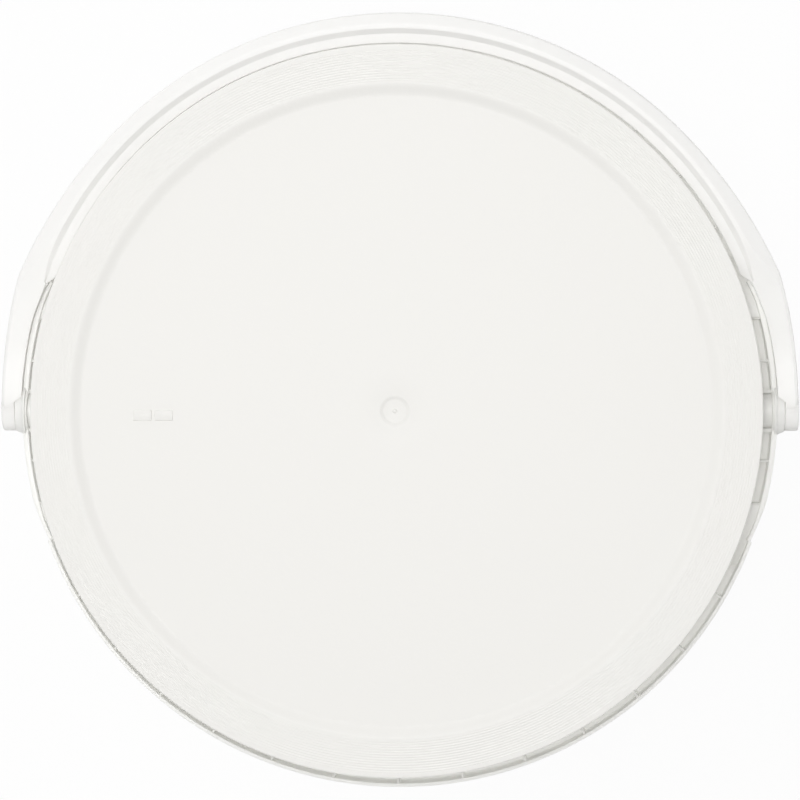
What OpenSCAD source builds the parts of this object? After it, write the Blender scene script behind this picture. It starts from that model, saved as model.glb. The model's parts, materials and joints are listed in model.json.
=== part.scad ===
// Round fermenting bucket with a press-on lid, a sealing ring and a swinging handle.
// Millimetres, +Z up. The origin is the centre of the foot ring, on the surface the bucket stands on.
// +X runs through the right-hand handle pivot, and the handle lies back towards +Y.

/* [Bucket] */
// Height from the standing surface to the top of the rim
bucket_h = 412; // [330:1:480]
// Inside radius at the mouth
mouth_r = 159; // [150:0.5:175]
// Inside radius at the floor
floor_r = 147; // [130:0.5:156]
// Thickness of the side wall
wall = 2; // [1.6:0.1:3]
// Thickness of the floor
floor_t = 2.4; // [1.8:0.1:4]
// Height of the floor's underside above the standing surface
foot_h = 6; // [4:0.5:10]
// Width of the foot ring
foot_w = 3; // [2.4:0.1:5]
// Inside corner radius between floor and wall
corner_r = 9; // [4:0.5:14]

/* [Rim] */
// Thickness of the rim's top and of its down-turned lip
rim_t = 2.2; // [1.8:0.1:3]
// How far the lip stands out from the side wall
rim_reach = 7; // [6:0.1:9]
// Height of the lip
lip_h = 9; // [7:0.5:12]
// How far the snap hook stands out from the lip
hook = 0.75; // [0.4:0.05:1.2]

/* [Collar] */
// Depth of the collar's top edge below the rim
collar_drop = 24.7; // [23:0.1:30]
// Height of the collar's outer wall
collar_h = 26; // [22:0.5:36]
// Thickness of the collar's outer wall
collar_t = 1.7; // [1.4:0.1:2.4]
// Gap between the lid's edge and the inside of the collar's wall
collar_gap = 5.3; // [4:0.1:7]
// Depth of the channel's floor below the collar's top edge
channel_d = 15; // [12:0.1:20]
// Thickness of the channel's floor
channel_t = 1.8; // [1.4:0.1:3]
// Angle between neighbouring radial ribs
rib_step = 10; // [5, 10, 15, 30]
// Thickness of the collar's ribs
rib_t = 1; // [0.8:0.1:1.6]
// Depth of the rib tops below the collar's top edge
rib_drop = 1.5; // [0.5:0.1:4]

/* [Ears] */
// Half width of an ear, to the outside of its last rib
ear_half_w = 44.4; // [36:0.2:50]
// Distance of an ear's middle rib from the pivot
ear_rib_y = 23.7; // [18:0.1:30]
// Distance of the ribs that flank the pivot socket
socket_rib_y = 9.2; // [8.6:0.1:12]
// Thickness of the ribs that flank the pivot socket
socket_rib_t = 1.8; // [1.2:0.1:2.4]
// How far an ear's wall stands out from the collar's wall
ear_reach = 0.9; // [0.5:0.1:1.2]
// Angle from the pivot at which the ear's wall has run in to the collar's wall
ear_end_a = 20.3; // [18:0.1:23]
// Depth of the step where the two walls meet
notch = 0.9; // [0.3:0.1:1.1]
// Distance from the pivot at which an ear's end ramp reaches the channel's floor
ramp_y = 75; // [66:1:90]
// Thickness of the end ramp
ramp_t = 1.4; // [1:0.1:2]

/* [Pivot] */
// Depth of the pivot axis below the collar's top edge
pivot_drop = 6; // [5:0.1:9]
// Radius of the handle's pin
pin_r = 5.5; // [4:0.1:6]
// Radial running clearance of the pin in its socket
pin_clear = 0.08; // [0.03:0.01:0.1]
// Wall of the socket around the pin
socket_t = 3; // [2:0.1:3.4]
// Depth of the socket, from the ear's outside inwards
socket_d = 9.3; // [7:0.1:10.5]
// Radius of the pivot boss where it leaves the ear
boss_r = 11.3; // [10.5:0.1:12]
// Radius of the pivot boss at its face
boss_face_r = 9.8; // [9:0.1:10.4]
// How far the boss stands out from the ear
boss_l = 3.3; // [2:0.1:6]

/* [Lid] */
// Thickness of the lid
lid_t = 1.8; // [1.5:0.1:2.5]
// Radial gap between the rim's hook and the inside of the skirt
skirt_gap = 0.85; // [0.7:0.05:1.4]
// Height of the skirt
skirt_h = 22; // [18:0.5:24]
// Radius of the lid's top edge
edge_r = 1.7; // [0.8:0.1:2.4]
// Clearance of the skirt's snap bead past the rim's hook
bead_gap = 0.35; // [0.3:0.05:0.5]
// Depth of the recessed centre panel
recess_d = 2; // [1.2:0.1:8]
// Width of the ledge, from the lid's edge inwards
ledge_w = 17.8; // [16.6:0.1:24]
// Width of the slope between the ledge and the panel
slope_w = 6.8; // [5:0.1:12]
// Number of fine rings on the ledge
ring_count = 13; // [4:1:16]
// Height of the fine rings
ring_h = 0.15; // [0.1:0.05:0.4]
// Radius of the moulding dimple at the centre
dimple_r = 7; // [4:0.5:12]
// Depth of the dimple
dimple_d = 0.8; // [0.4:0.1:1]
// Radius of the gate nub in the dimple
nub_r = 1.1; // [0.6:0.1:2]
// Depth of the plug ring below the ledge's underside
plug_h = 10; // [6:0.5:14]
// Thickness of the plug ring
plug_t = 1.6; // [1.3:0.1:2.4]
// Radial gap between the plug ring and the mouth
plug_gap = 0.7; // [0.5:0.05:1.2]
// Distance of the plain raised pads from the lid's centre
pad_x = 113.5; // [60:0.5:120]
// Length of each plain pad
pad_l = 8.7; // [5:0.1:12]
// Width of each plain pad
pad_w = 5; // [3:0.5:8]
// Gap between the two plain pads
pad_gap = 1.3; // [0.8:0.1:4]
// Height of the plain pads
pad_h = 0.7; // [0.3:0.1:1.5]

/* [Sealing ring] */
// Thickness of the sealing ring
seal_t = 1.5; // [1:0.1:3]
// Width of the sealing ring
seal_w = 6; // [4:0.1:7]

/* [Handle] */
// Clearance of the handle's web past the top corner of the lid
swing_gap = 0.8; // [0.3:0.1:1.8]
// Thickness of the handle's inner web
web_t = 4; // [3:0.1:6]
// Gap between the collar's wall and the handle's body
arc_gap = 1.3; // [1:0.1:2.5]
// Width of the ridge along the body
ridge_w = 3.8; // [3:0.1:6]
// Width of the sloping outer side
slant_w = 5; // [4:0.1:7]
// How far the outer side slopes down from the ridge
slant_h = 2.2; // [1:0.1:3.5]
// Height of the handle's body along the arc
arc_h = 16; // [13:0.5:20]
// Wall of the body around the hollows beside the web
shell_t = 2.5; // [2:0.1:3]
// Height of the plain legs near the pivots
leg_h = 12; // [10:0.5:13]
// Gap between the ear's wall and the inside of a leg
leg_gap = 0.4; // [0.35:0.05:1.2]
// Gap between the pivot boss and the handle's hub
hub_gap = 0.2; // [0.15:0.05:0.8]
// Thickness of the hub along the pivot axis
hub_t = 6.4; // [5:0.1:9]
// Radius of the hub
hub_r = 9.45; // [8.5:0.05:12]
// How far the pin's retaining lip stands out
pin_lip = 0.9; // [0.5:0.1:1.2]
// How far the shoulder stands out from the arc
shoulder = 3.3; // [1:0.1:4]
// Angle from the pivot of the shoulder's widest place
shoulder_a = 20; // [17:0.5:22]
// Angle from the pivot at which the shoulder has run out
shoulder_end_a = 50; // [36:1:60]
// Gap between the resting web and the collar's top edge
rest_gap = 0.3; // [0.2:0.05:0.6]

/* [Hidden] */

$fn = 96;
plastic = [0.95, 0.945, 0.925];
lid_plastic = [0.95, 0.945, 0.93];
handle_plastic = [0.965, 0.96, 0.94];
soft_seal = [0.86, 0.86, 0.83];
overlap = 0.5;

// Bucket and rim
floor_z = foot_h + floor_t;
draft = (mouth_r - floor_r) / (bucket_h - floor_z);
lip_r = mouth_r + wall + rim_reach;
hook_r = lip_r + hook;

// Lid
seal_top_z = bucket_h + seal_t;
seal_mid_r = mouth_r + (wall + rim_reach) / 2;
lid_top_z = seal_top_z + lid_t;
skirt_in_r = hook_r + skirt_gap;
skirt_z = lid_top_z - skirt_h;
bead_r = hook_r + bead_gap;
bead_z = bucket_h - lip_h - 0.5;
lid_r = skirt_in_r + lid_t;
ledge_r = lid_r - ledge_w;
panel_r = ledge_r - slope_w;
panel_z = lid_top_z - recess_d;
plug_r = mouth_r - plug_gap;
pad_y = -2;

// Collar and ears
collar_in_r = lid_r + collar_gap;
collar_r = collar_in_r + collar_t;
collar_z = bucket_h - collar_drop;
collar_z0 = collar_z - collar_h;
channel_z = collar_z - channel_d;
rib_z = collar_z - rib_drop;
ear_r = collar_r + ear_reach;
ear_a = asin(ear_half_w / ear_r);

// Pivot
pivot_z = collar_z - pivot_drop;
bore_r = pin_r + pin_clear;
boss_x = ear_r + boss_l;
hub_x = boss_x + hub_gap;
hub_end_x = hub_x + hub_t;
socket_x = ear_r - socket_d;

// Handle, laid flat with its pivot on the X axis
web_r = norm([lid_r, lid_top_z - pivot_z]) + swing_gap;
ridge_r = collar_r + arc_gap;
slant_r = ridge_r + ridge_w;
arc_r = slant_r + slant_w;
core_r = arc_r - shell_t - 1.1;
leg_in_r = ear_r + leg_gap;
recess_x = hub_x + 0.3;
arc_a = shoulder_a + 1;
web_a = shoulder_a + 4;
web_y = collar_in_r * sin(web_a);
lean = asin((pivot_drop + rest_gap) / norm([web_y, web_t / 2])) + atan(web_t / 2 / web_y);

// Outside radius of the side wall at height z
function outside_r(z) = floor_r + wall + draft * (z - floor_z);

// Points of an arc about a centre, from angle a0 to a1
function arc(centre, r, a0, a1, n) =
    [for (i = [0:n]) centre + r * [cos(a0 + (a1 - a0) * i / n), sin(a0 + (a1 - a0) * i / n)]];

// Slope of two equal arcs that rises by d over a width w, level at both ends, from its low end
function slope(low, w, d, n = 5) =
    let (a = 2 * atan(d / w), r = w / (2 * sin(a)))
    concat(arc(low + [0, r], r, -90, a - 90, n),
           [for (i = [1:n]) low + [w, d - r] + r * [cos(90 + a - a * i / n), sin(90 + a - a * i / n)]]);

// The same points in the opposite order
function backwards(points) = [for (i = [len(points) - 1:-1:0]) points[i]];

function polar(r, a) = r * [cos(a), sin(a)];

// Outer radius of the ear's wall where it runs in to the collar's wall
function run_in_r(a) =
    ear_r - 0.1 - (ear_reach + notch - 0.1) * (a - ear_a) / (ear_end_a - ear_a);

// Outer radius of the leg and shoulder, at an angle from the pivot
function leg_r(a) = a < shoulder_a
    ? hub_end_x - 0.2 + (arc_r + shoulder - hub_end_x + 0.2) * pow(max(a, 0) / shoulder_a, 1.5)
    : arc_r + shoulder * pow(1 - (a - shoulder_a) / (shoulder_end_a - shoulder_a), 2.5);

module four_ways() {
    for (mx = [0, 1], my = [0, 1]) mirror([mx, 0, 0]) mirror([0, my, 0]) children();
}

module both_sides() {
    children();
    mirror([1, 0, 0]) children();
}

// Ring segment with a rectangular section, between two angles
module ring(r0, r1, z0, z1, a0 = 0, a1 = 360) {
    rotate([0, 0, a0]) rotate_extrude(angle = a1 - a0) translate([r0, z0]) square([r1 - r0, z1 - z0]);
}

// Turned shape about the pivot axis, from points of radius and distance along +X
module turned_on_x(points) {
    rotate([0, 90, 0]) rotate_extrude() polygon(points);
}

// Foot ring, floor, side wall and rim
module shell() {
    side = atan(draft);
    foot_r = outside_r(0);
    rim_z = bucket_h - rim_t;
    lip_z = bucket_h - lip_h;
    rotate_extrude() polygon(concat(
        [[0, foot_h], [foot_r - foot_w - 1, foot_h], [foot_r - foot_w, foot_h - 1]],
        [[foot_r - foot_w + 0.4, 0], [foot_r - 0.8, 0], [outside_r(0.8), 0.8]],
        [[outside_r(rim_z - 1), rim_z - 1], [outside_r(rim_z) + 1, rim_z]],
        [[lip_r - rim_t, rim_z], [lip_r - rim_t, lip_z], [lip_r, lip_z]],
        [[hook_r, lip_z + 1], [hook_r, lip_z + 2], [lip_r, lip_z + 4.5]],
        arc([lip_r - 1, bucket_h - 1], 1, 0, 90, 3),
        arc([mouth_r + 0.6, bucket_h - 0.6], 0.6, 90, 180, 2),
        arc([floor_r - corner_r, floor_z + corner_r], corner_r, -side, -90, 6),
        [[0, floor_z]]
    ));
}

// Keeps its children between the outside of the side wall and the inside of the collar's wall
module in_channel() {
    difference() {
        intersection() {
            children();
            cylinder(h = bucket_h, r = collar_in_r + overlap);
        }
        cylinder(h = bucket_h, r1 = outside_r(0), r2 = outside_r(bucket_h));
    }
}

// Rib that runs outwards along +X at a distance y
module rib(y, t) {
    translate([mouth_r * 0.7, y - t / 2, channel_z - overlap])
        cube([mouth_r / 2, t, rib_z - channel_z + overlap]);
}

// Sloping end of an ear, from its last rib down to the channel's floor
module end_ramp() {
    foot_z = channel_z - channel_t / 2;
    top_y = ear_half_w + 5;
    translate([mouth_r * 0.7, 0, 0]) rotate([90, 0, 90]) linear_extrude(mouth_r / 2) polygon([
        [ear_half_w - rib_t / 2, rib_z], [top_y, rib_z], [ramp_y, foot_z],
        [ramp_y - 1.6 * ramp_t, foot_z], [top_y - ramp_t / 2, rib_z - ramp_t],
        [ear_half_w - rib_t / 2, rib_z - ramp_t]
    ]);
}

// Wall that leads from an ear in to the collar, with a small step where they meet
module run_in() {
    bearings = [for (i = [0:4]) ear_a + (ear_end_a - ear_a) * i / 4];
    outside = [for (a = bearings) polar(run_in_r(a), a)];
    inside = [for (a = bearings) polar(min(run_in_r(a) - collar_t, collar_in_r + 0.1), a)];
    start = [polar(collar_in_r + 0.3, ear_a - 0.6), polar(ear_r - 0.4, ear_a - 0.6)];
    end = [polar(collar_r - notch - 0.1, ear_end_a + 0.6), polar(collar_in_r + 0.2, ear_end_a + 0.6)];
    translate([0, 0, collar_z0]) linear_extrude(collar_h)
        polygon(concat(start, outside, end, backwards(inside)));
}

// An ear's wall, raised into a round hump over the pivot
module ear_wall() {
    intersection() {
        ring(collar_in_r, ear_r, collar_z0, pivot_z + boss_r + 1, -ear_a, ear_a);
        union() {
            translate([0, -ear_half_w * 2, 0]) cube([ear_r + 5, ear_half_w * 4, collar_z]);
            translate([0, 0, pivot_z]) rotate([0, 90, 0]) cylinder(h = ear_r + 5, r = boss_r - 0.4);
        }
    }
}

// Open channel around the side wall: outer wall, floor, ribs and the sloping ends of the ears
module channel() {
    for (a = [0, 180])
        ring(collar_in_r, collar_r, collar_z0, collar_z, a + ear_end_a, a + 180 - ear_end_a);
    both_sides() ear_wall();
    four_ways() run_in();
    in_channel() {
        ring(mouth_r * 0.8, collar_r, channel_z - channel_t, channel_z);
        for (side = [0, 180], a = [30:rib_step:150]) rotate([0, 0, side + a]) rib(0, rib_t);
        four_ways() {
            rib(socket_rib_y, socket_rib_t);
            rib(ear_rib_y, rib_t);
            rib(ear_half_w - rib_t / 2, rib_t);
            end_ramp();
        }
    }
}

// Boss outside the ear and socket behind it
module pivot_boss() {
    translate([0, 0, pivot_z]) turned_on_x([
        [0, socket_x], [bore_r + socket_t, socket_x], [bore_r + socket_t, ear_r - 1.2],
        [boss_r, ear_r - 1.2], [boss_r, ear_r - 0.6], [boss_face_r, boss_x], [0, boss_x]
    ]);
}

module bucket() {
    color(plastic) shell();
}

module collar() {
    color(plastic) difference() {
        union() {
            channel();
            both_sides() pivot_boss();
        }
        both_sides() translate([socket_x - 1, 0, pivot_z]) rotate([0, 90, 0])
            cylinder(h = socket_d + boss_l + 2, r = bore_r);
    }
}

module lid() {
    pitch = (ledge_w - edge_r - 0.6) / ring_count;
    under = [lid_t * recess_d / slope_w, -lid_t];
    slope_points = slope([panel_r, panel_z], slope_w, recess_d);
    dimple_z = panel_z - dimple_d;
    plug_z = seal_top_z - plug_h;
    color(lid_plastic) union() {
        rotate_extrude() polygon(concat(
            [[0, dimple_z + 0.4], [nub_r, dimple_z + 0.4], [nub_r, dimple_z]],
            [[dimple_r - dimple_d * 2, dimple_z], [dimple_r, panel_z]],
            slope_points,
            [for (i = [0:ring_count - 1], p = [[0.3, 0], [0.5, ring_h], [0.8, ring_h], [1, 0]])
                [ledge_r + pitch * (i + p[0]), lid_top_z + p[1] - ring_h]],
            arc([lid_r - edge_r, lid_top_z - edge_r], edge_r, 90, 0, 5),
            [[lid_r, skirt_z], [skirt_in_r + 0.3, skirt_z], [skirt_in_r, skirt_z + 0.6]],
            [[skirt_in_r, bead_z - 1.8], [bead_r, bead_z - 1], [bead_r, bead_z]],
            [[skirt_in_r, bead_z + 0.8], [skirt_in_r, seal_top_z], [plug_r, seal_top_z]],
            [[plug_r - 0.6, plug_z + 1], [plug_r - 1.2, plug_z], [plug_r - plug_t, plug_z]],
            [[plug_r - plug_t, seal_top_z]],
            backwards([for (p = slope_points) p + under]),
            [[0, panel_z - lid_t]]
        ));
        for (side = [-1, 1])
            translate([-pad_x + side * (pad_l + pad_gap) / 2 - pad_l / 2, pad_y - pad_w / 2, panel_z - overlap])
                cube([pad_l, pad_w, pad_h + overlap]);
    }
}

module lid_seal() {
    color(soft_seal) ring(seal_mid_r - seal_w / 2, seal_mid_r + seal_w / 2, bucket_h, seal_top_z);
}

// Body of the handle's arc: a ridge, a sloping outer side and a hollow beside the web, above and
// below
module handle_arc() {
    body = arc_h / 2;
    hollow = body - shell_t;
    upper = [
        [arc_r, body - slant_h - 0.8], [arc_r - 0.6, body - slant_h],
        [slant_r, body], [ridge_r + 1.5, body - 0.6], [ridge_r, hollow + 0.5], [ridge_r, hollow],
        [core_r, hollow], [core_r, web_t / 2], [ridge_r, web_t / 2]
    ];
    rotate([0, 0, arc_a]) rotate_extrude(angle = 180 - 2 * arc_a)
        polygon(concat(upper, backwards([for (p = upper) [p[0], -p[1]]])));
}

// Flat plate from the hub to the end of the shoulder, with a rounded outer side and a recess that
// clears the pivot boss
module handle_leg() {
    bearings = [for (a = [-1:2:shoulder_end_a]) a];
    widest = arc_r + shoulder + 0.7;
    side = arc_r - 2.5;
    difference() {
        intersection() {
            translate([0, 0, -leg_h]) linear_extrude(leg_h * 2) polygon(concat(
                [for (a = bearings) polar(leg_r(a), a)],
                [polar(arc_r - 3.5, shoulder_end_a + 2), polar(core_r + 0.4, shoulder_end_a)],
                backwards([for (a = bearings) if (a > arc_a + 3 && a < shoulder_end_a) polar(core_r + 0.4, a)]),
                [polar(core_r + 0.4, arc_a + 2.5), polar(ridge_r + 0.2, arc_a + 2.3)],
                [polar(ridge_r + 0.2, arc_a + 0.4), polar(leg_in_r, arc_a - 0.4)],
                backwards([for (a = bearings) if (a < arc_a - 1) polar(leg_in_r, a)])
            ));
            rotate([0, 0, -10]) rotate_extrude(angle = shoulder_end_a + 20) polygon(concat(
                [[ridge_r - 2, leg_h / 2], [ridge_r - 2, -leg_h / 2]],
                [for (a = [-90:15:90]) [side + (widest - side) * cos(a), leg_h / 2 * sin(a)]]
            ));
        }
        turned_on_x([
            [0, ear_r - 6], [boss_r + 0.5, ear_r - 6], [boss_r + 0.5, leg_in_r - 0.5],
            [boss_face_r + 0.6, recess_x], [0, recess_x]
        ]);
    }
}

// Hub, pin and the pin's retaining lip as one turned shape
module handle_hub() {
    lip_x = socket_x - 0.3;
    turned_on_x([
        [0, lip_x - 2], [pin_r - 0.5, lip_x - 2], [pin_r + pin_lip, lip_x - 0.7], [pin_r + pin_lip, lip_x],
        [pin_r, lip_x], [pin_r, hub_x], [hub_r, hub_x],
        [hub_r, hub_end_x - 1], [hub_r - 1, hub_end_x], [0, hub_end_x]
    ]);
}

module handle() {
    color(handle_plastic) translate([0, 0, pivot_z]) rotate([lean, 0, 0]) union() {
        handle_arc();
        ring(web_r, ridge_r + overlap, -web_t / 2, web_t / 2, web_a, 180 - web_a);
        both_sides() {
            handle_leg();
            handle_hub();
        }
    }
}

bucket();
collar();
lid();
lid_seal();
handle();
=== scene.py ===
import json
import math

import bmesh
import bpy
from mathutils import Matrix, Vector


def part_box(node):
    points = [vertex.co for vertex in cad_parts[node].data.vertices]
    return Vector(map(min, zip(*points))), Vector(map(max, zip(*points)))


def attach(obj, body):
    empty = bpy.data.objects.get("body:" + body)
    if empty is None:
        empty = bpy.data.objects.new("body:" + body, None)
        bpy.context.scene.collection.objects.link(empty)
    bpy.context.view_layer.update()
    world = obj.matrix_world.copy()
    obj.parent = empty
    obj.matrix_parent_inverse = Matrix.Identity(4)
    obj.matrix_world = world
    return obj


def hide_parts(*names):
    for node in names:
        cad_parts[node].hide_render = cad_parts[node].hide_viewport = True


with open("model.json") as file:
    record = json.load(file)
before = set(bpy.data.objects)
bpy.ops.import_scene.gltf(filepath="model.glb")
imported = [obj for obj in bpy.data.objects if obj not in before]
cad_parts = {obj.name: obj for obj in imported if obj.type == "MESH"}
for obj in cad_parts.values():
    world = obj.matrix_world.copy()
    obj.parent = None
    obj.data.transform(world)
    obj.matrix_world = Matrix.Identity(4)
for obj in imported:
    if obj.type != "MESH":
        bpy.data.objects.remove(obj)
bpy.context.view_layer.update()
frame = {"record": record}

# Sizes in millimetres. Heights and reaches come from the frame; the rest are the small forms on it.
MM = 0.001
SHARP_A = 40


def mm_box(node):
    return [[v / MM for v in corner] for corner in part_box(node)]


lid_lo, lid_hi = mm_box("lid")
seal_lo, seal_hi = mm_box("lid_seal")
bucket_hi = mm_box("bucket")[1]
collar_hi = mm_box("collar")[1]
handle_hi = mm_box("handle")[1]
hinge = next(j for j in frame["record"]["behaviour"]["joints"] if j["type"] == "hinge")

PIVOT_Z = hinge["pos_m"][2] / MM
LID_TOP = lid_hi[2]
LID_R = lid_hi[0]
RIM_Z = bucket_hi[2]
BOSS_X = collar_hi[0]
COLLAR_R = collar_hi[1]
HUB_END = handle_hi[0]

# Lid and sealing ring
LID_T = 1.8
LID_EDGE = 0.6
LEDGE_R = LID_R - 17.8
PANEL_R = LEDGE_R - 6.8
RECESS = 2.0
SKIRT_Z = lid_lo[2]
RINGS = 13
RING_H = 0.07
RING_MARGIN = 2.3
DIMPLE_D = 0.8
PLUG_H, PLUG_T = 10.0, 1.6
BEAD_Z = RIM_Z - 9.5
BEAD_T = 0.5
PAD_X, PAD_Y = -113.5, -2.0
PAD_L, PAD_W = 8.7, 5.0
PAD_STEP = 5.0
SEAL_W = 6.0

# Side, foot and rim
WALL = 2.0
FOOT_H = 6.0
FLOOR_Z = FOOT_H + 2.4
FLOOR_R = 147.0
MOUTH_R = 159.0
DRAFT = (MOUTH_R - FLOOR_R) / (RIM_Z - FLOOR_Z)
LIP_R = MOUTH_R + WALL + 7.0
RIM_T, LIP_H, HOOK = 2.2, 9.0, 0.75
FLOOR_EDGE = 9.0

# Collar, with its channel, ribs and ears
COLLAR_Z = PIVOT_Z + 6.0
COLLAR_Z0 = COLLAR_Z - 26.0
COLLAR_T = 1.7
CHANNEL_T = 1.8
COLLAR_IN = COLLAR_R - COLLAR_T
CHANNEL_Z = COLLAR_Z - 15.0
RIB_Z = COLLAR_Z - 1.5
RIB_STEP = 10
RIB_T, SOCKET_RIB_T = 1.0, 1.8
SOCKET_RIB_Y, EAR_RIB_Y = 9.2, 23.7
RAMP_Y, RAMP_T = 75.0, 1.4
EAR_REACH = 0.9
EAR_R = COLLAR_R + EAR_REACH
EAR_HALF = 44.4
EAR_A = math.degrees(math.asin(EAR_HALF / EAR_R))
EAR_END_A = 20.3
NOTCH = 0.9

# Pivots
BORE_R = 5.58
PIN_R = 5.5
PIN_LIP = 0.9
SOCKET_X = EAR_R - 9.3
BOSS_R, BOSS_FACE_R = 11.3, 9.8
HUB_X = BOSS_X + 0.2
HUB_R = 9.45
RECESS_X = HUB_X + 0.3

# Handle, from the web next to the lid out to the arc's edge
WEB_R = math.hypot(LID_R, LID_TOP - PIVOT_Z) - 0.4
RIDGE_R = COLLAR_R + 1.3
SLANT_R = RIDGE_R + 3.8
ARC_R = SLANT_R + 5.0
SHOULDER, SHOULDER_A, SHOULDER_END_A = 3.3, 20.0, 50.0
ARC_HALF, LEG_HALF, HUB_SWELL = 8.0, 6.0, 3.2
WEB_TOP, WEB_UNDER = 6.3, 2.0
WEB_START = 19.5
LEG_GAP = 0.2
# The handle leans so that its web rests just over the collar
REST_H = COLLAR_Z - PIVOT_Z + 0.3
WEB_Y = COLLAR_IN * math.sin(math.radians(SHOULDER_A + 4))
LEAN = math.asin(REST_H / math.hypot(WEB_Y, WEB_UNDER)) + math.atan(WEB_UNDER / WEB_Y)

# Light let through the thin walls, how far roughness varies, and the strength of the light from all round
THIN = 0.6
GLOSS_SPAN = 0.05
FILL = 0.27
LAMP_REACH = 2.6


def wall_out(z):
    """Outside radius of the bucket's side at a height."""
    return FLOOR_R + WALL + DRAFT * (z - FLOOR_Z)


def ease(u):
    """Smooth step from 0 to 1."""
    u = min(max(u, 0), 1)
    return u * u * (3 - 2 * u)


# Mesh helpers


def rounded(points, closed=False, n=4):
    """Rounds the corners of a line of (u, v, radius) points, with n + 1 points for each rounded corner."""
    out = []
    count = len(points)
    for i, (u, v, r) in enumerate(points):
        here = Vector((u, v))
        if r is None or (not closed and i in (0, count - 1)):
            out.append((u, v))
            continue
        before = Vector(points[i - 1][:2]) - here
        after = Vector(points[(i + 1) % count][:2]) - here
        if min(before.length, after.length, r) < 1e-4:
            out += [(u, v)] * (n + 1)
            continue
        angle = before.angle(after)
        if angle > math.radians(178) or angle < math.radians(2):
            out += [(u, v)] * (n + 1)
            continue
        reach = min(r / math.tan(angle / 2), before.length * 0.49, after.length * 0.49)
        r = reach * math.tan(angle / 2)
        a, b = here + before.normalized() * reach, here + after.normalized() * reach
        centre = here + (before.normalized() + after.normalized()).normalized() * (r / math.sin(angle / 2))
        start = a - centre
        turn = math.atan2(start.cross(b - centre), start.dot(b - centre))
        for k in range(n + 1):
            c, w = math.cos(turn * k / n), math.sin(turn * k / n)
            out.append((centre.x + start.x * c - start.y * w, centre.y + start.x * w + start.y * c))
    return out


def new_object(name, bm):
    """Turns a mesh in the making into an object, smooth but for its sharp edges."""
    mesh = bpy.data.meshes.new(name)
    bmesh.ops.remove_doubles(bm, verts=bm.verts, dist=1e-7)
    bmesh.ops.recalc_face_normals(bm, faces=bm.faces)
    for f in bm.faces:
        f.smooth = True
    bm.to_mesh(mesh)
    bm.free()
    mesh.set_sharp_from_angle(angle=math.radians(SHARP_A))
    obj = bpy.data.objects.new(name, mesh)
    bpy.context.collection.objects.link(obj)
    return obj


def skin(bm, rings, close_ends=False, wrap=False):
    """Joins closed rings of points, each with as many points, into faces."""
    rows = [[bm.verts.new(Vector(p) * MM) for p in ring] for ring in rings]
    count = len(rows[0])
    pairs = list(zip(rows, rows[1:])) + ([(rows[-1], rows[0])] if wrap else [])
    for a, b in pairs:
        for i in range(count):
            j = (i + 1) % count
            bm.faces.new((a[i], a[j], b[j], b[i]))
    if close_ends:
        bm.faces.new(rows[0][::-1])
        bm.faces.new(rows[-1])


def lathe(bm, profile, steps, axis="Z", offset=(0, 0, 0)):
    """Turns (radius, height) points about an axis. A radius of 0 at an end closes it in a point."""
    closed = Vector(profile[0]) == Vector(profile[-1])
    if closed:
        profile = profile[:-1]
    columns = []
    for r, h in profile:
        if r < 1e-6:
            p = (0, 0, h) if axis == "Z" else (h, 0, 0)
            columns.append([bm.verts.new((Vector(p) + Vector(offset)) * MM)])
            continue
        ring = []
        for k in range(steps):
            a = 2 * math.pi * k / steps
            u, v = r * math.cos(a), r * math.sin(a)
            p = (u, v, h) if axis == "Z" else (h, u, v)
            ring.append(bm.verts.new((Vector(p) + Vector(offset)) * MM))
        columns.append(ring)
    pairs = list(zip(columns, columns[1:])) + ([(columns[-1], columns[0])] if closed else [])
    for a, b in pairs:
        for k in range(steps):
            j = (k + 1) % steps
            if len(a) == 1 and len(b) == 1:
                continue
            if len(a) == 1:
                bm.faces.new((a[0], b[k], b[j]))
            elif len(b) == 1:
                bm.faces.new((a[k], b[0], a[j]))
            else:
                bm.faces.new((a[k], a[j], b[j], b[k]))


def slab(bm, corners, depth, bevel):
    """A flat plate from an outline of points, thickened along depth, with rounded edges."""
    depth = Vector(depth)
    front = [bm.verts.new((Vector(c) - depth / 2) * MM) for c in corners]
    back = [bm.verts.new((Vector(c) + depth / 2) * MM) for c in corners]
    faces = [bm.faces.new(front), bm.faces.new(back[::-1])]
    count = len(corners)
    for i in range(count):
        j = (i + 1) % count
        faces.append(bm.faces.new((front[j], front[i], back[i], back[j])))
    edges = list(dict.fromkeys(e for f in faces for e in f.edges))
    bmesh.ops.bevel(bm, geom=edges, offset=bevel * MM, segments=2, profile=0.5, affect="EDGES")


def cut(bm, cutter):
    """Takes one closed mesh out of another with a Boolean modifier."""
    body, tool = new_object("body", bm), new_object("tool", cutter)
    modifier = body.modifiers.new("cut", "BOOLEAN")
    modifier.operation = "DIFFERENCE"
    modifier.object = tool
    made = bmesh.new()
    made.from_object(body, bpy.context.evaluated_depsgraph_get())
    for obj in (body, tool):
        bpy.data.objects.remove(obj)
    return made


def s_curve(low, w, d, n=20):
    """Smooth slope from its low end."""
    return [(low[0] + w * i / n, low[1] + d * (1 - math.cos(math.pi * i / n)) / 2) for i in range(n + 1)]


# Lid


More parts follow.
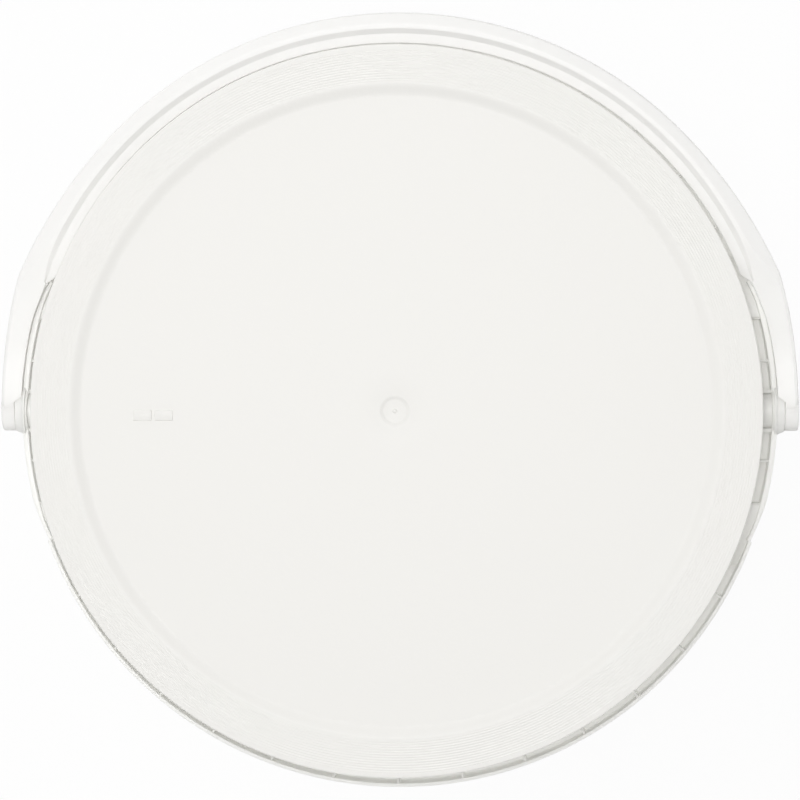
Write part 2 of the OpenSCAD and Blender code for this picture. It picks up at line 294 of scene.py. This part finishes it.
def make_lid():
    bm = bmesh.new()
    panel_z = LID_TOP - RECESS
    dimple_z = panel_z - DIMPLE_D
    under_z = LID_TOP - LID_T
    in_r = LID_R - LID_T
    bead_r = in_r - BEAD_T
    plug_r, plug_z = MOUTH_R - 0.7, under_z - PLUG_H
    slope = s_curve((PANEL_R, panel_z), LEDGE_R - PANEL_R, RECESS)
    pitch = (LID_R - LEDGE_R - RING_MARGIN) / RINGS
    crests = []
    for i in range(RINGS):
        for u, h in ((0.3, 0), (0.42, 0.6), (0.55, 1), (0.75, 1), (0.88, 0.6), (1.0, 0)):
            crests.append((LEDGE_R + pitch * (i + u), LID_TOP + RING_H * (h - 1)))
    top = (
        [(0, dimple_z + 0.55), (0.5, dimple_z + 0.52), (0.9, dimple_z + 0.35), (1.1, dimple_z)]
        + [(5.2, dimple_z), (5.8, dimple_z + 0.12), (6.6, panel_z - 0.12), (7.2, panel_z)]
        + [(20, panel_z), (60, panel_z), (100, panel_z), (135, panel_z)]
        + slope
        + crests
    )
    rim = rounded(
        [
            (LID_R - RING_MARGIN, LID_TOP, 0),
            (LID_R, LID_TOP, LID_EDGE),
            (LID_R, SKIRT_Z, 0.5),
            (in_r + 0.3, SKIRT_Z, 0.3),
            (in_r, SKIRT_Z + 0.8, 0.3),
            (in_r, BEAD_Z - 1.8, 0.3),
            (bead_r, BEAD_Z - 1, 0.3),
            (bead_r, BEAD_Z, 0.3),
            (in_r, BEAD_Z + 0.8, 0.3),
            (in_r, under_z, 0.6),
            (plug_r, under_z, 0.4),
            (plug_r - 0.6, plug_z + 1, 0.3),
            (plug_r - 1.2, plug_z, 0.3),
            (plug_r - PLUG_T, plug_z, 0.2),
            (plug_r - PLUG_T, under_z, 0),
        ]
    )
    shift = LID_T * RECESS / (LEDGE_R - PANEL_R)
    bottom = [(r + shift, z - LID_T) for r, z in slope[::-1]]
    bottom += [(r, panel_z - LID_T) for r in (100, 50, 0)]
    lathe(bm, top + rim + bottom, steps=480)
    for side in (-1, 1):
        x, a, b = PAD_X + side * PAD_STEP, PAD_L / 2, PAD_W / 2
        corners = [(x - a, PAD_Y - b), (x + a, PAD_Y - b), (x + a, PAD_Y + b), (x - a, PAD_Y + b)]
        slab(bm, [(u, v, panel_z + 0.1) for u, v in corners], (0, 0, 1.2), 0.3)
    return new_object("lid_moulding", bm)


def make_seal():
    bm = bmesh.new()
    r0, r1 = seal_hi[0] - SEAL_W, seal_hi[0]
    z0, z1 = seal_lo[2], seal_hi[2]
    profile = rounded([(r0, z0, 0.5), (r1, z0, 0.5), (r1, z1, 0.5), (r0, z1, 0.5)], closed=True)
    lathe(bm, profile + profile[:1], steps=240)
    return new_object("sealing_ring", bm)


# Bucket


def make_shell(bm):
    foot_r = wall_out(0)
    rim_u = RIM_Z - RIM_T
    lip_z = RIM_Z - LIP_H
    hook_r = LIP_R + HOOK
    out = rounded(
        [
            (foot_r - 8, FOOT_H, 0),
            (foot_r - 3.4, FOOT_H, 1.2),
            (foot_r - 2.6, 0, 0.6),
            (foot_r, 0, 1.2),
            (wall_out(rim_u), rim_u, 1.6),
            (LIP_R - RIM_T, rim_u, 1.0),
            (LIP_R - RIM_T, lip_z, 0.5),
            (LIP_R, lip_z, 0.4),
            (hook_r, lip_z + 1, 0.4),
            (hook_r, lip_z + 2, 0.4),
            (LIP_R, lip_z + 4.5, 1.0),
            (LIP_R, RIM_Z, 1.2),
            (MOUTH_R, RIM_Z, 0.7),
            (FLOOR_R, FLOOR_Z, FLOOR_EDGE),
            (FLOOR_R - 20, FLOOR_Z, 0),
        ],
        n=6,
    )
    gate = [(0, 4.9), (1.6, 4.9), (2.0, 5.3), (9, 5.4), (10, 6.0)]
    lathe(bm, gate + [(60, FOOT_H)] + out + [(60, FLOOR_Z), (0, FLOOR_Z)], steps=360)


def collar_out(q):
    """Outer radius of the collar's wall at an angle from the nearer pivot, folded into 0 to 90."""
    if q <= EAR_A:
        return EAR_R
    if q >= EAR_END_A:
        return COLLAR_R
    return EAR_R - (EAR_REACH + NOTCH) * (q - EAR_A) / (EAR_END_A - EAR_A)


def make_collar(bm):
    """The collar's wall with the channel's floor, turned round the bucket. It rises over the pivots."""
    # Bearings in a quarter turn, closer over the ears and on both sides of the step at their ends
    quarter = [0.25 * i for i in range(88)] + [22 + i for i in range(69)]
    near = [q for q in quarter if abs(q - EAR_END_A) > 0.2]
    quarter = sorted(set(near + [EAR_END_A - 0.02, EAR_END_A + 0.1]))
    angles = []
    for q in quarter:
        angles += [q, 180 - q, 180 + q, 360 - q]
    angles = sorted(set(round(a % 360, 4) for a in angles))
    hump = BOSS_R - 0.3
    rings = []
    for a in angles:
        b = a % 180
        q = min(b, 180 - b)
        outer = collar_out(q)
        inner = min(outer - COLLAR_T, COLLAR_IN) if q > EAR_A else COLLAR_IN
        y = outer * math.sin(math.radians(q))
        top = COLLAR_Z
        if y < hump:
            top = max(top, PIVOT_Z + math.sqrt(hump**2 - y**2))
        start = wall_out(CHANNEL_Z) - 1
        line = rounded(
            [
                (start, CHANNEL_Z - CHANNEL_T, 0),
                (inner, CHANNEL_Z - CHANNEL_T, 0.6),
                (inner, COLLAR_Z0, 0.4),
                (outer, COLLAR_Z0, 0.4),
                (outer, top, 0.25),
                (inner, top, 0.45),
                (inner, CHANNEL_Z, 0.8),
                (start, CHANNEL_Z, 0),
            ],
            n=3,
        )
        c, s = math.cos(math.radians(a)), math.sin(math.radians(a))
        rings.append([(r * c, r * s, z) for r, z in line])
    skin(bm, rings, wrap=True)


def make_ramps(bm):
    """The sloping ends of the ears, down to the channel's floor."""
    foot_z, top_y = CHANNEL_Z - 0.9, EAR_HALF + 5
    line = [(EAR_HALF - 0.5, RIB_Z), (top_y, RIB_Z), (RAMP_Y, foot_z)]
    for sx in (-1, 1):
        for sy in (-1, 1):
            rows = []
            for (y, z), (dy, dz) in zip(line, ((0, -RAMP_T), (-0.7, -RAMP_T), (-2.2, 0))):
                for v, w in ((y, z), (y + dy, z + dz)):
                    inner = math.sqrt((wall_out(w) - 1) ** 2 - v * v)
                    q = math.degrees(math.asin(v / COLLAR_IN))
                    reach = (collar_out(q) - 0.8) if EAR_A < q < EAR_END_A else COLLAR_IN + 0.5
                    outer = math.sqrt(reach**2 - v * v)
                    rows.append([(sx * inner, sy * v, w), (sx * outer, sy * v, w)])
            order = [rows[0], rows[2], rows[4], rows[5], rows[3], rows[1]]
            skin(bm, [[row[i] for row in order] for i in (0, 1)], close_ends=True)


def make_pivots(bm):
    """The bosses with the sockets that the handle's pins turn in."""
    for s in (1, -1):
        profile = rounded(
            [
                (BORE_R + 3, SOCKET_X, 0.5),
                (BORE_R, SOCKET_X, 0.4),
                (BORE_R, BOSS_X, 0.4),
                (BOSS_FACE_R, BOSS_X, 0.25),
                (BOSS_R, EAR_R - 0.1, 0.5),
                (BOSS_R + 0.9, EAR_R - 0.8, 0.3),
                (BOSS_R + 0.9, EAR_R - 1.6, 0),
                (BORE_R + 3, EAR_R - 1.6, 0.3),
            ],
            closed=True,
            n=4,
        )
        outline = [(r, s * h) for r, h in profile + profile[:1]]
        lathe(bm, outline, steps=96, axis="X", offset=(0, 0, PIVOT_Z))


def rib(bm, a, y, t):
    """A rib across the channel, at a bearing and a step to the side of it."""
    r_in = [math.sqrt((wall_out(z) - 1.0) ** 2 - y * y) for z in (CHANNEL_Z - 1, RIB_Z)]
    x_out = math.sqrt((COLLAR_IN + 0.6) ** 2 - y * y)
    outline = [(r_in[0], CHANNEL_Z - 1), (x_out, CHANNEL_Z - 1), (x_out, RIB_Z), (r_in[1], RIB_Z)]
    turn = Matrix.Rotation(math.radians(a), 3, "Z")
    slab(bm, [turn @ Vector((x, y, z)) for x, z in outline], turn @ Vector((0, t, 0)), 0.2)


def make_ribs(bm):
    for a in range(30, 151, RIB_STEP):
        rib(bm, a, 0, RIB_T)
        rib(bm, a + 180, 0, RIB_T)
    for a in (0, 180):
        for s in (-1, 1):
            rib(bm, a, s * SOCKET_RIB_Y, SOCKET_RIB_T)
            rib(bm, a, s * EAR_RIB_Y, RIB_T)
            rib(bm, a, s * (EAR_HALF - 0.5), RIB_T)


def make_bucket():
    bm = bmesh.new()
    make_shell(bm)
    make_collar(bm)
    make_ramps(bm)
    make_pivots(bm)
    make_ribs(bm)
    return new_object("bucket_moulding", bm)


# Handle


def leg_out(a):
    """Outer radius of the leg and shoulder at an angle from the pivot."""
    if a < SHOULDER_A:
        return HUB_END - 0.2 + (ARC_R + SHOULDER - HUB_END + 0.2) * (max(a, 0) / SHOULDER_A) ** 1.5
    if a < SHOULDER_END_A:
        return ARC_R + SHOULDER * (1 - (a - SHOULDER_A) / (SHOULDER_END_A - SHOULDER_A)) ** 2.5
    return ARC_R


def handle_section(a, web_half):
    """Half of the handle's section at an angle from the pivot: (radius, height), from the inside out."""
    out = leg_out(a)
    flat = 1 - ease((a - 17) / 11)
    web = ease((a - WEB_START) / 3)
    half = ARC_HALF - (ARC_HALF - LEG_HALF) * flat + HUB_SWELL * (1 - ease((a - 1) / 8))
    inner = collar_out(a) + LEG_GAP + (RIDGE_R - COLLAR_R - LEG_GAP) * ease((a - 20) / 4)
    web_r = inner + (WEB_R - RIDGE_R) * web
    side = SLANT_R + (out - 1.6 - SLANT_R) * flat
    fall = 2.2 - 1.6 * flat
    step = min(web_half, half - 1)
    points = [
        (web_r, 0, 0),
        (web_r, step, 0.4),
        (inner - 0.8 * web, step, 0.9 * web),
        (inner + 1.6 * (1 - flat), half, 0.25 + 0.75 * (1 - flat)),
        (side, half, 2.5 - 2 * flat),
        (out - 0.5, half - fall, 0.7),
        (out, half - fall - 0.9, 0.7),
        (out, 0, 0),
    ]
    return rounded(points, n=4)


def make_handle():
    bm = bmesh.new()
    # The sections are closest where the leg's plain form turns into the arc
    half = [0, 1.5, 3, 5, 7, 9, 11, 13, 15, 17, 18.5, 19.5, 20.2]
    half += [20.4 + 0.15 * i for i in range(8)] + [21.8, 22.3, 22.9, 23.4]
    half += [23.6 + 0.15 * i for i in range(8)] + [25, 26, 27, 28.5]
    half += [30 + 1.5 * i for i in range(40)]
    angles = half + [90] + [180 - a for a in half[::-1]]
    rings = []
    for a in angles:
        q = min(a, 180 - a)
        section = handle_section(q, WEB_TOP)
        # Under the web there is only as much as clears the collar near the ears
        deep = 20.5 * math.sin(math.radians(q)) - REST_H
        under = handle_section(q, max(0.3, min(WEB_UNDER, deep)))
        ring = section + [(r, -h) for r, h in under[-2:0:-1]]
        c, s = math.cos(math.radians(a)), math.sin(math.radians(a))
        rings.append([(r * c, r * s, h) for r, h in ring])
    skin(bm, rings, close_ends=True)
    cutter = bmesh.new()
    recess = [
        (0, EAR_R - 6),
        (BOSS_R + 0.5, EAR_R - 6),
        (BOSS_R + 0.5, EAR_R - 0.1),
        (BOSS_FACE_R + 0.6, RECESS_X),
        (0, RECESS_X),
    ]
    for s in (1, -1):
        lathe(cutter, [(r, s * h) for r, h in recess], steps=96, axis="X")
    bm = cut(bm, cutter)
    for s in (1, -1):
        profile = rounded(
            [
                (0, SOCKET_X - 2.3, 0),
                (PIN_R - 0.5, SOCKET_X - 2.3, 0.4),
                (PIN_R + PIN_LIP, SOCKET_X - 1.0, 0.2),
                (PIN_R + PIN_LIP, SOCKET_X - 0.3, 0.15),
                (PIN_R, SOCKET_X - 0.3, 0),
                (PIN_R, HUB_X, 0),
                (HUB_R, HUB_X, 0.15),
                (HUB_R, HUB_END, 1.1),
                (0, HUB_END, 0),
            ],
            n=4,
        )
        lathe(bm, [(r, s * h) for r, h in profile], steps=96, axis="X")
    lean = Matrix.Translation((0, 0, PIVOT_Z * MM)) @ Matrix.Rotation(LEAN, 4, "X")
    bmesh.ops.transform(bm, matrix=lean, verts=bm.verts)
    return new_object("handle_moulding", bm)


# Materials


def plastic(name, color, drift, rough, grain, grain_scale, thin, soft):
    """Moulded plastic: a slow drift of colour and a fine grain. Thin walls let some light through."""
    mat = bpy.data.materials.new(name)
    mat.use_nodes = True
    nodes, links = mat.node_tree.nodes, mat.node_tree.links
    bsdf = nodes["Principled BSDF"]
    bsdf.inputs["IOR"].default_value = 1.5
    bsdf.inputs["Specular IOR Level"].default_value = 0.35
    bsdf.inputs["Subsurface Weight"].default_value = soft
    bsdf.inputs["Subsurface Radius"].default_value = (1, 1, 1)
    bsdf.inputs["Subsurface Scale"].default_value = 0.004
    coords = nodes.new("ShaderNodeTexCoord")
    cloud = nodes.new("ShaderNodeTexNoise")
    cloud.inputs["Scale"].default_value = 9
    cloud.inputs["Detail"].default_value = 3
    links.new(coords.outputs["Object"], cloud.inputs["Vector"])
    ramp = nodes.new("ShaderNodeMix")
    ramp.data_type = "RGBA"
    ramp.inputs["A"].default_value = (*color, 1)
    ramp.inputs["B"].default_value = (*(c - drift for c in color), 1)
    links.new(cloud.outputs["Fac"], ramp.inputs["Factor"])
    links.new(ramp.outputs["Result"], bsdf.inputs["Base Color"])
    fine = nodes.new("ShaderNodeTexNoise")
    fine.inputs["Scale"].default_value = grain_scale
    fine.inputs["Detail"].default_value = 4
    links.new(coords.outputs["Object"], fine.inputs["Vector"])
    span = nodes.new("ShaderNodeMapRange")
    span.inputs["To Min"].default_value = rough - GLOSS_SPAN
    span.inputs["To Max"].default_value = rough + GLOSS_SPAN
    links.new(fine.outputs["Fac"], span.inputs["Value"])
    links.new(span.outputs["Result"], bsdf.inputs["Roughness"])
    bump = nodes.new("ShaderNodeBump")
    bump.inputs["Strength"].default_value = grain
    bump.inputs["Distance"].default_value = 0.0002
    links.new(fine.outputs["Fac"], bump.inputs["Height"])
    links.new(bump.outputs["Normal"], bsdf.inputs["Normal"])
    if thin:
        through = nodes.new("ShaderNodeBsdfTransparent")
        path = nodes.new("ShaderNodeLightPath")
        share = nodes.new("ShaderNodeMapRange")
        share.inputs["To Min"].default_value = thin
        share.inputs["To Max"].default_value = 0
        links.new(path.outputs["Is Camera Ray"], share.inputs["Value"])
        mix = nodes.new("ShaderNodeMixShader")
        links.new(share.outputs["Result"], mix.inputs[0])
        links.new(bsdf.outputs["BSDF"], mix.inputs[1])
        links.new(through.outputs["BSDF"], mix.inputs[2])
        links.new(mix.outputs["Shader"], nodes["Material Output"].inputs["Surface"])
    return mat


def floor_material():
    """Nearly white to the camera, with a soft shadow, and pale to all other rays."""
    mat = bpy.data.materials.new("pale_floor")
    mat.use_nodes = True
    nodes, links = mat.node_tree.nodes, mat.node_tree.links
    nodes.clear()
    out = nodes.new("ShaderNodeOutputMaterial")
    lit = nodes.new("ShaderNodeBsdfDiffuse")
    lit.inputs["Color"].default_value = (0.93, 0.93, 0.925, 1)
    white = nodes.new("ShaderNodeEmission")
    white.inputs["Strength"].default_value = 1
    path = nodes.new("ShaderNodeLightPath")
    share = nodes.new("ShaderNodeMath")
    share.operation = "MULTIPLY"
    share.inputs[1].default_value = 0.94
    links.new(path.outputs["Is Camera Ray"], share.inputs[0])
    mix = nodes.new("ShaderNodeMixShader")
    links.new(share.outputs[0], mix.inputs[0])
    links.new(lit.outputs[0], mix.inputs[1])
    links.new(white.outputs[0], mix.inputs[2])
    links.new(mix.outputs[0], out.inputs["Surface"])
    return mat


def make_world():
    """White behind the object and in reflections, and a plain even fill as light."""
    world = bpy.data.worlds.new("studio")
    bpy.context.scene.world = world
    world.use_nodes = True
    nodes, links = world.node_tree.nodes, world.node_tree.links
    nodes.clear()
    out = nodes.new("ShaderNodeOutputWorld")
    path = nodes.new("ShaderNodeLightPath")
    seen = nodes.new("ShaderNodeBackground")
    seen.inputs["Strength"].default_value = 1
    fill = nodes.new("ShaderNodeBackground")
    fill.inputs["Color"].default_value = (1, 1, 1, 1)
    fill.inputs["Strength"].default_value = FILL
    seen.inputs["Color"].default_value = (1, 1, 1, 1)
    shown = nodes.new("ShaderNodeMath")
    shown.operation = "MAXIMUM"
    links.new(path.outputs["Is Camera Ray"], shown.inputs[0])
    links.new(path.outputs["Is Glossy Ray"], shown.inputs[1])
    mix = nodes.new("ShaderNodeMixShader")
    links.new(shown.outputs[0], mix.inputs[0])
    links.new(fill.outputs[0], mix.inputs[1])
    links.new(seen.outputs[0], mix.inputs[2])
    links.new(mix.outputs[0], out.inputs["Surface"])


def area_light(name, size, power, azimuth, elevation):
    """A round lamp that faces the middle of the lid, from a bearing and height in degrees."""
    light = bpy.data.lights.new(name, "AREA")
    light.shape = "DISK"
    light.size = size
    light.energy = power
    obj = bpy.data.objects.new(name, light)
    bpy.context.collection.objects.link(obj)
    a, e = math.radians(azimuth), math.radians(elevation)
    back = Vector((math.cos(a) * math.cos(e), math.sin(a) * math.cos(e), math.sin(e)))
    obj.location = Vector((0, 0, LID_TOP * MM)) + back * LAMP_REACH
    obj.rotation_mode = "QUATERNION"
    obj.rotation_quaternion = (-back).to_track_quat("-Z", "Y")


lid = make_lid()
seal = make_seal()
bucket = make_bucket()
handle = make_handle()
for piece, body, node, slot in (
    (lid, "lid", "lid", "lid_plastic"),
    (seal, "lid", "lid_seal", "seal_rubber"),
    (bucket, "bucket", "bucket", "bucket_plastic"),
    (handle, "handle", "handle", "handle_plastic"),
):
    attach(piece, body)
    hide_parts(node)
    if node == "bucket":
        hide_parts("collar")

# Piece, material, colour and its drift, roughness, grain and its scale, light let through, softness
for piece, name, color, drift, rough, grain, grain_scale, thin, soft in (
    (lid, "white_lid_plastic", (0.872, 0.862, 0.832), 0.01, 0.5, 0.25, 700, THIN, 0.0),
    (bucket, "white_bucket_plastic", (0.985, 0.98, 0.935), 0.01, 0.4, 0.25, 600, THIN, 0.5),
    (handle, "white_handle_plastic", (0.945, 0.936, 0.915), 0.01, 0.42, 0.2, 500, THIN, 0.3),
    (seal, "soft_seal", (0.7, 0.7, 0.66), 0.03, 0.6, 0.3, 900, 0.0, 0.0),
):
    piece.data.materials.append(plastic(name, color, drift, rough, grain, grain_scale, thin, soft))

floor_mesh = bmesh.new()
bmesh.ops.create_grid(floor_mesh, x_segments=1, y_segments=1, size=4)
floor = new_object("floor", floor_mesh)
floor.data.materials.append(floor_material())

# Camera over the lid, tilted a little towards +X, with the width of its view at the lid's height
TILT = math.radians(3.24)
VIEW_W = LID_R * 2 * 373.2 / 342.8
camera_data = bpy.data.cameras.new("camera")
camera = bpy.data.objects.new("camera", camera_data)
bpy.context.collection.objects.link(camera)
bpy.context.scene.camera = camera
aim = Vector((2.6, 5.14, LID_TOP)) * MM
distance = 1.7
back = Vector((math.sin(TILT), 0, math.cos(TILT)))
camera.location = aim + back * distance
camera.rotation_euler = (0, TILT, 0)
camera_data.sensor_width = 36
camera_data.lens = camera_data.sensor_width * distance / (VIEW_W * MM)
camera_data.clip_end = 20

# Lamps: size in metres, power, bearing and height in degrees
make_world()
area_light("key", 1.2, 20.4, 125, 70)
area_light("overhead", 0.5, 23, 0, 90)
for azimuth in (10, 130, 250):
    area_light("side", 1.4, 13, azimuth, 9)

bpy.context.scene.view_settings.view_transform = "Standard"
